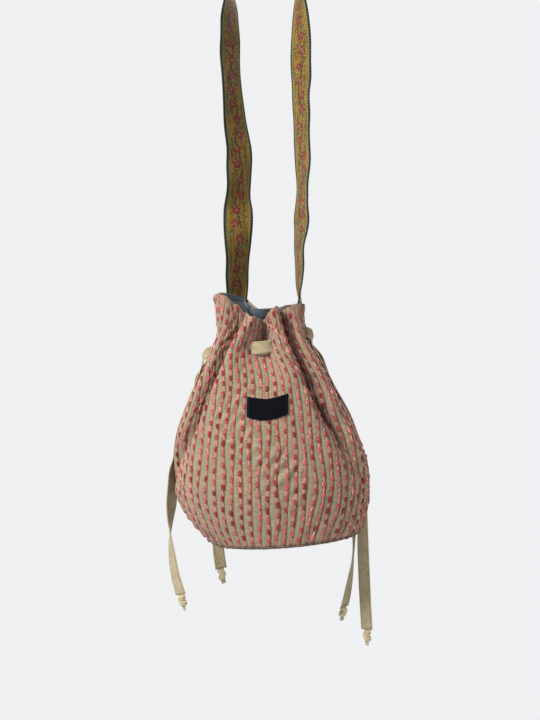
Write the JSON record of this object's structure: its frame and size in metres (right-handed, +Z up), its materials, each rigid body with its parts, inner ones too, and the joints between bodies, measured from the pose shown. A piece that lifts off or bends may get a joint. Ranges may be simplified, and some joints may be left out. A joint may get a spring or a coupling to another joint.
{
  "type": "drawstring shoulder pouch",
  "caption": "Soft stitched cloth pouch gathered at the neck by tape drawstrings with knotted tails, with a lining, a small label and a ribbon shoulder strap.",
  "frame": {"origin": "point on the underside of the shoulder strap's top bend, where it rests on a peg", "axes": "+Z up, +X to the right of someone facing the pouch's front, +Y away from them"},
  "size_m": [0.2174, 0.121, 0.7395],
  "materials": {
    "stitched_cloth": "beige ribbed cotton with columns of raised red and pink stitches",
    "lining_chambray": "blue-grey plain weave",
    "khaki_tape": "khaki cotton twill tape",
    "label_cloth": "near-black woven label, blank",
    "floral_ribbon": "mustard woven ribbon with dark borders and a red flower vine"
  },
  "bodies": {
    "root": {"outer_front_panel": "stitched_cloth", "outer_back_panel": "stitched_cloth", "base_panel": "stitched_cloth", "lining_front": "lining_chambray", "lining_back": "lining_chambray", "lining_base": "lining_chambray", "drawstring_left": "khaki_tape", "drawstring_right": "khaki_tape", "tail_left_front": "khaki_tape", "knot_left_front": "khaki_tape", "tail_left_back": "khaki_tape", "knot_left_back": "khaki_tape", "tail_right_back": "khaki_tape", "knot_right_back": "khaki_tape", "tail_right_front": "khaki_tape", "knot_right_front": "khaki_tape", "front_label": "label_cloth", "shoulder_strap": "floral_ribbon"}
  },
  "joints": []
}
